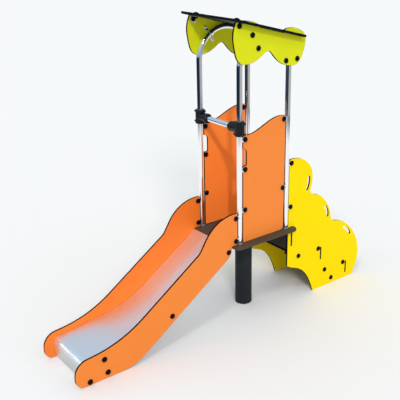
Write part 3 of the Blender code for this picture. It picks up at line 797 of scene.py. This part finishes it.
def lug_shape(sx, y, z):
    """A welded lug from the post to a round end about the bolt, with a rippled weld bead on its root."""
    bead_r, ripple, ripples, pace = 0.0021, 0.0003, 44, 2.1
    blunt_end = 0.02
    post = -POST if y < 0 else POST
    way = 1 if y > post else -1
    steps = 16
    arc = [math.pi / 2 - math.pi * k / steps for k in range(steps + 1)]
    outline = [(y + way * LUG_R * math.cos(a), z + LUG_R * math.sin(a)) for a in arc]
    outline = [(post, z + LUG_R)] + outline + [(post, z - LUG_R)]
    stand = Matrix(((0, 1, 0), (0, 0, 1), (1, 0, 0))).transposed().to_4x4()
    plate = round_edges(prism(outline, -LUG / 2, LUG / 2), 0.0007, 2)
    face_x = LUG_X + LUG / 2
    root = post + way * math.sqrt(TUBE_R ** 2 - (face_x - POST) ** 2)
    bead = []
    for k in range(ripples + 1):
        along = -LUG_R + 2 * LUG_R * k / ripples
        taper = math.sqrt(max(blunt_end, 1 - (along / LUG_R) ** 6))
        radius = (bead_r + ripple * math.cos(k * pace)) * taper
        bead.append([(sx * face_x + u, root + v, z + along) for u, v in round_outline(radius, 10)])
    return joined((plate, Matrix.Translation((sx * LUG_X, 0, 0)) @ stand), loft(bead))


def make_hoops():
    for side, sx in SIDES:
        tube = swept(hoop_path(sx * POST), round_outline(TUBE_R, 36), UPRIGHT)
        smooth_piece(f"{side}_hoop_tube", tube, "polished_steel", f"{side}_hoop")
        for name, (y, z) in LUG_BOLTS.items():
            smooth_piece(f"{side}_{name}_lug", lug_shape(sx, y, z), "polished_steel")


def make_rail():
    """The rail's tube, which ends inside the clamps just short of the posts."""
    clear = 0.001
    half = POST - TUBE_R - clear
    stops = 12
    path = [(-half + 2 * half * k / stops, -POST, RAIL_Z) for k in range(stops + 1)]
    tube = swept(path, round_outline(TUBE_R, 36), LEVEL)
    smooth_piece("cross_rail_tube", tube, "polished_steel", "cross_rail", finish="rail_steel")


def make_collars():
    height, rim, chamfer = 0.008, 0.0245, 0.0014
    bore = TUBE_R + GAP
    low = DECK_TOP + GAP
    high = low + height
    profile = [(bore, low), (rim, low), (rim, high - chamfer), (rim - chamfer, high), (bore, high)]
    for side, sx in SIDES:
        for end, sy in (("front", -1), ("rear", 1)):
            shape = ring_lathe(profile)
            shape.transform(Matrix.Translation((sx * POST, sy * POST, 0)))
            node = f"{side}_{end}_post_collar"
            smooth_piece(f"{node}_ring", shape, "polished_steel", node)


def sleeve_profile(radius, half, rim, recess):
    """A sleeve with a raised rim at each end and broken edges."""
    edge = 0.003
    upper = [
        (radius - recess, half - rim - recess),
        (radius, half - rim),
        (radius, half - edge),
        (radius - edge, half),
        (0, half),
    ]
    return [(r, -z) for r, z in reversed(upper)] + upper


def cut_screw(length):
    """A socket-head screw whose head starts at z = 0 and rises, with its shank below."""
    head, shank, rise, chamfer = 0.0050, 0.0030, 0.0045, 0.0006
    socket, socket_depth, above = 0.0024, 0.0025, 0.002
    profile = [(0, -length), (shank, -length), (shank, 0), (head, 0)]
    profile += [(head, rise - chamfer), (head - chamfer, rise), (0, rise)]
    key_hole = prism(round_outline(socket, 6), rise - socket_depth, rise + above)
    return carved(lathe(profile, 24), ("DIFFERENCE", key_hole))


def clamp_arm():
    """The tee's arm, standing on z = 0: a neck that flares out to a thicker end."""
    neck, flare = 0.0352, 0.0380
    profile = [
        (0, 0),
        (neck, 0),
        (neck, 0.076),
        (flare - 0.001, 0.084),
        (flare, 0.097),
        (flare - 0.002, CLAMP_ARM),
        (0, CLAMP_ARM),
    ]
    return lathe(profile, 64)


def clamp_boss():
    """A drum across the split for one screw, with its middle at z = 0."""
    radius, chamfer = 0.0095, 0.0015
    upper = [(radius, CLAMP_BOSS - chamfer), (radius - chamfer, CLAMP_BOSS), (0, CLAMP_BOSS)]
    return lathe([(r, -z) for r, z in reversed(upper)] + upper, 32)


def clamp_flange():
    """The upright rib on the side away from the rail, where the two halves meet."""
    root, tip, half_thick, half_height, edge = 0.028, 0.0455, 0.014, 0.049, 0.003
    outline = [(root, -half_thick), (tip, -half_thick), (tip, half_thick), (root, half_thick)]
    return round_edges(prism(outline, -half_height, half_height), edge)


def clamp_body(sx):
    """The tee: a rimmed sleeve on the post, an arm on the rail, a rib, and bosses for the four screws."""
    arm_turn = Matrix.Rotation(-sx * math.pi / 2, 4, "Y")
    body = lathe(sleeve_profile(CLAMP_R, CLAMP_HALF_HEIGHT, rim=0.009, recess=0.0012), 64)
    arm = clamp_arm()
    arm.transform(arm_turn)
    flange = clamp_flange()
    flange.transform(Matrix.Rotation(0 if sx > 0 else math.pi, 4, "Z"))
    steps = [("UNION", arm), ("UNION", flange)]
    for x, z in CLAMP_SCREWS:
        boss = clamp_boss()
        boss.transform(Matrix.Translation((-sx * x, 0, z)) @ Matrix.Rotation(math.pi / 2, 4, "X"))
        steps.append(("UNION", boss))
    bore = TUBE_R + 0.0004
    reach = 0.1
    post_bore = prism(round_outline(bore, 64), -reach, reach)
    rail_bore = prism(round_outline(bore, 64), 0, 2 * reach)
    rail_bore.transform(arm_turn)
    steps += [("DIFFERENCE", post_bore), ("DIFFERENCE", rail_bore)]
    return carved(body, *steps)


def make_clamps():
    """Each clamp as two half shells with a slit between them, and its four screws."""
    split = 0.0006
    reach = 0.2
    screw_length = 2 * CLAMP_BOSS - 0.004
    for side, sx in SIDES:
        centre = Matrix.Translation((sx * POST, -POST, RAIL_Z))
        for half, way in (("front", -1), ("back", 1)):
            near, far = sorted((way * split, -way * reach))
            outline = [(-reach, near), (reach, near), (reach, far), (-reach, far)]
            shell = carved(clamp_body(sx), ("DIFFERENCE", prism(outline, -reach, reach)))
            shell.transform(centre)
            node = f"{side}_rail_clamp_{half}"
            smooth_piece(f"{node}_shell", shell, "black_clamp", node, degrees=28)
        screws = []
        for x, z in CLAMP_SCREWS:
            turn = Matrix.Translation((-sx * x, -CLAMP_BOSS, z)) @ Matrix.Rotation(math.pi / 2, 4, "X")
            screws.append((cut_screw(screw_length), centre @ turn))
        smooth_piece(f"{side}_rail_clamp_screws", joined(*screws), "black_clamp")


# Chute

def rounded_corner(before, corner, after, radius, degrees=1.2):
    """The arc that rounds a corner of a path of (y, z) points."""
    here = Vector(corner)
    back = (Vector(before) - here).normalized()
    on = (Vector(after) - here).normalized()
    half = back.angle(on) / 2
    centre = here + (back + on).normalized() * radius / math.sin(half)
    start = here + back * radius / math.tan(half) - centre
    turn = math.pi - 2 * half
    sign = 1 if back.cross(on) < 0 else -1
    steps = max(6, math.ceil(turn / math.radians(degrees)))
    turns = [-sign * turn * k / steps for k in range(steps + 1)]
    return [tuple(centre + start @ Matrix.Rotation(a, 2)) for a in turns]


def chute_line():
    """The sheet's middle line: a lip down the deck's edge, the run, the run-out, the nose, the skirt."""
    lip_y = -DECK_HALF - GAP - CHUTE_SHEET / 2
    lip = (lip_y, 0.642)
    bend = (-0.988, 0.226)
    top = (lip_y, bend[1] + math.tan(SLIDE_ANGLE) * (lip_y - bend[0]))
    nose = (-1.625, 0.159)
    foot = (-1.602, 0.003)
    line = [lip]
    line += rounded_corner(lip, top, bend, 0.005, 12)
    line += rounded_corner(top, bend, nose, 0.950)
    line += rounded_corner(bend, nose, foot, 0.060, 4)
    line.append(foot)
    return line


def fine_line(line, longest):
    """The same line with points added, so that no stretch is longer than longest."""
    path = [line[0]]
    for a, b in zip(line, line[1:]):
        parts = max(1, math.ceil((Vector(b) - Vector(a)).length / longest))
        path += [tuple(Vector(a).lerp(Vector(b), k / parts)) for k in range(1, parts + 1)]
    return path


def chute_section(flange_share):
    """The sheet across the chute: flat, then a rounded fold and a flange down on each side.

    The fold and the flange fade to almost nothing where flange_share is 0, at the sheet's two ends.
    """
    full_fold, least_drop = 0.0045, 0.0002
    full_flange, least_flange = 0.031, 0.0008
    below_fold = 0.0006
    depth = least_flange + (full_flange - least_flange) * flange_share
    drop = full_fold * flange_share + least_drop
    side = [(CHUTE_HALF, -drop - depth), (CHUTE_HALF, -drop - below_fold)]
    steps = 6
    for k in range(steps + 1):
        a = math.pi / 2 * k / steps
        side.append((CHUTE_HALF - drop + drop * math.cos(a), -drop + drop * math.sin(a)))
    side += [(CHUTE_HALF * share, 0) for share in (0.975, 0.66, 0.33)]
    return [(-u, v) for u, v in side] + [(0, 0)] + side[::-1]


def make_chute():
    """One folded sheet, with a rounded bend along each side down to a stiffening flange."""
    flange_start, flange_end, fade = -0.345, -1.540, 0.03
    on_the_run = Vector((0, -0.7, 0.45))
    path = fine_line(chute_line(), 0.02)
    rings = []
    for i, here in enumerate(path):
        before = Vector(path[max(i - 1, 0)])
        after = Vector(path[min(i + 1, len(path) - 1)])
        along = (after - before).normalized()
        out = Vector((along.y, -along.x))
        past_start = max(0, (flange_start - here[0]) / fade)
        before_end = max(0, (here[0] - flange_end) / fade)
        across = chute_section(min(1, past_start, before_end))
        outer = [out * (v + CHUTE_SHEET / 2) + Vector(here) for _, v in across]
        rings.append([(u, p.x, p.y) for (u, _), p in zip(across, outer)])
    shape = loft(rings, closed_ring=False, caps=False)
    middle = min(shape.faces, key=lambda face: (face.calc_center_median() - on_the_run).length)
    if middle.normal.z < 0:
        bmesh.ops.reverse_faces(shape, faces=shape.faces)
    obj = smooth_piece("chute_sheet", shape, "brushed_steel", "chute", degrees=50)
    thick = obj.modifiers.new("sheet", "SOLIDIFY")
    thick.thickness = CHUTE_SHEET
    thick.offset = -1
    return obj


# Saddle clamps, brackets, anchors and cleats

def saddle_path():
    """The strap's middle line round the tube, as (away from the hoop's centre, outwards)."""
    inner_ear, outer_ear = 0.084, 0.066
    clear, bend = 0.0020, 0.004
    ear = CANOPY_INNER - GAP - SADDLE_STRAP / 2 - PANEL_X
    wrap = TUBE_R + clear + SADDLE_STRAP / 2
    steps = 36
    turns = [math.pi + math.pi * k / steps for k in range(steps + 1)]
    corner = [(wrap, ear - bend), (wrap + bend * 0.3, ear - bend * 0.3), (wrap + bend, ear)]
    path = [(-inner_ear, ear)] + [(-u, v) for u, v in reversed(corner)]
    path += [(wrap * math.cos(a), wrap * math.sin(a)) for a in turns]
    return path + corner + [(outer_ear, ear)]


def upright_way(degrees):
    """The direction that many degrees up from +Y, in the upright plane along the slide."""
    return Vector((0, math.cos(math.radians(degrees)), math.sin(math.radians(degrees))))


def make_saddles():
    half = SADDLE_WIDTH / 2
    thick = SADDLE_STRAP / 2
    soft = 0.0006
    outline = [
        (-thick, -half + soft),
        (-thick + soft, -half),
        (thick - soft, -half),
        (thick, -half + soft),
        (thick, half - soft),
        (thick - soft, half),
        (-thick + soft, half),
        (-thick, half - soft),
    ]
    for end, (round_hoop, tilt) in SADDLES.items():
        centre = upright_way(round_hoop) * POST
        away = upright_way(tilt)
        for side, sx in SIDES:
            strap = swept([(x, y, 0) for x, y in saddle_path()], outline, LEVEL)
            across = Vector((sx, 0, 0))
            axes = Matrix((away, across, away.cross(across))).transposed().to_4x4()
            strap.transform(Matrix.Translation(Vector((sx * PANEL_X, 0, SPRING_Z)) + centre) @ axes)
            node = f"{side}_{end}_saddle_clamp"
            smooth_piece(f"{node}_strap", strap, "zinc_steel", node, finish="polished_steel")


def make_angles():
    """The folded brackets, anchors and cleats, each from its CAD node with rounded edges."""
    parts = ("slide_anchor", "stair_anchor", "upper_tread_cleat", "lower_tread_cleat", "roof_bracket")
    for side, _ in SIDES:
        for part in parts:
            node = f"{side}_{part}"
            shape = round_edges(shape_of_node(node), ANGLE_EDGE, 2)
            slot = "black_clamp" if "cleat" in part else "zinc_steel"
            smooth_piece(f"{node}_angle", shape, slot, node)


# Bolts

TURNED_OVER = Matrix.Rotation(math.pi, 4, "X")


def cap_shape():
    """A snap-on bolt cap on its base ring, standing on z = 0."""
    base, foot, edge, groove = 0.0040, 0.0008, 0.0004, 0.0006
    lid = CAP_R - 0.0007
    profile = [(0, GAP), (CAP_R - edge, GAP), (CAP_R, foot)]
    profile += [(CAP_R, base - edge), (CAP_R - edge, base)]
    profile += [(lid - groove, base), (lid - groove, base + edge)]
    steps = 9
    turns = [math.pi / 2 * k / steps for k in range(steps + 1)]
    rise = CAP_HEIGHT - base - groove
    profile += [(lid * math.cos(a), base + groove + rise * math.sin(a)) for a in turns[:-1]]
    profile.append((0, CAP_HEIGHT))
    return lathe(profile)


def shank_shape(grip):
    return lathe([(0, -grip), (SHANK_R, -grip), (SHANK_R, 0), (0, 0)], 20)


def dome_nut():
    """A washer, a six-sided nut with turned corners and its dome, standing on z = 0."""
    washer, body, dome = 0.0016, 0.0062, 0.0056
    washer_r, corner_r, sunk = 0.0105, 0.0080, 0.001
    washer_profile = [
        (0, 0),
        (washer_r - 0.0003, 0),
        (washer_r, 0.0004),
        (washer_r, 0.0012),
        (washer_r - 0.0004, washer),
        (0, washer),
    ]
    nut = round_edges(prism(round_outline(corner_r, 6), washer, body), 0.0007, 2)
    steps = 8
    turns = [math.pi / 2 * k / steps for k in range(steps)]
    top = [(dome * math.cos(a), body + dome * math.sin(a)) for a in turns]
    crown = lathe([(0, body - sunk), (dome, body - sunk)] + top + [(0, body + dome)], 32)
    return joined(lathe(washer_profile, 32), nut, crown)


def capped_bolt(sx, y, z, outer_face, inner_face):
    """Caps on both faces of the stack, and the shank between them."""
    outwards = bolt_axes(sx, outer_face, y, z)
    inwards = bolt_axes(sx, inner_face, y, z) @ TURNED_OVER
    grip = outer_face - inner_face
    return joined((cap_shape(), outwards), (shank_shape(grip), outwards), (cap_shape(), inwards))


def lug_bolts(side, sx):
    """The bolts through the lugs. Those of the stair panels have no CAD node to replace."""
    for name, (y, z) in LUG_BOLTS.items():
        node = f"{side}_{name}"
        stands_for = (node,) if node in nodes else ()
        shape = capped_bolt(sx, y, z, LUG_X + LUG / 2, INNER_FACE)
        smooth_piece(f"{node}_caps", shape, "black_cap", *stands_for)


def panel_bolts(side, sx):
    """The bolts through the panels alone. The chute hides the inner ends of its own three."""
    for name, (y, z) in PANEL_BOLTS.items():
        if name.startswith("chute"):
            shape = joined((cap_shape(), bolt_axes(sx, OUTER_FACE, y, z)))
        else:
            shape = capped_bolt(sx, y, z, OUTER_FACE, INNER_FACE - STEEL_PLATE - GAP)
        smooth_piece(f"{side}_{name}_caps", shape, "black_cap")


def canopy_bolts(side, sx):
    """Each saddle clamp's two bolts, with bright nuts on the strap's ears, and the bracket's bolt."""
    for name, (y, z) in SADDLE_BOLTS.items():
        cap = (cap_shape(), bolt_axes(sx, CANOPY_OUTER, y, z))
        smooth_piece(f"{side}_{name}_cap", joined(cap), "black_cap")
        inner = bolt_axes(sx, CANOPY_INNER - SADDLE_STRAP - GAP, y, z) @ TURNED_OVER
        nut = joined((dome_nut(), inner))
        smooth_piece(f"{side}_{name}_nut", nut, "zinc_steel", finish="bright_nut")
    shape = capped_bolt(sx, *BRACKET_BOLT, CANOPY_OUTER, CANOPY_INNER - STEEL_PLATE - GAP)
    smooth_piece(f"{side}_roof_bracket_bolt_caps", shape, "black_cap")


def roof_bolt(side, sx):
    """The bolt through the sloping roof and its bracket."""
    x, y = ROOF_BOLT
    roof = Matrix.Translation((0, 0, ROOF_UNDER_Z)) @ Matrix.Rotation(-ROOF_PITCH, 4, "X")
    above = roof @ Matrix.Translation((sx * x, y, ROOF_THICK))
    below = roof @ Matrix.Translation((sx * x, y, -STEEL_PLATE - GAP)) @ TURNED_OVER
    grip = ROOF_THICK + STEEL_PLATE + GAP
    shape = joined((cap_shape(), above), (shank_shape(grip), above), (cap_shape(), below))
    smooth_piece(f"{side}_roof_bolt_caps", shape, "black_cap", f"{side}_roof_bolt")


def make_bolts():
    for side, sx in SIDES:
        lug_bolts(side, sx)
        panel_bolts(side, sx)
        canopy_bolts(side, sx)
        roof_bolt(side, sx)


make_plates()
make_column()
make_deck_frame()
make_hoops()
make_rail()
make_collars()
make_clamps()
chute = make_chute()
make_saddles()
make_angles()
make_bolts()

# A weak sun that only the chute takes, for the bright fold at its nose
nose_light = sun("nose_light", NOSE_TOWARDS, NOSE_LIGHT, 12.0, shadow=False)
light_only(nose_light, chute, "INCLUDE")
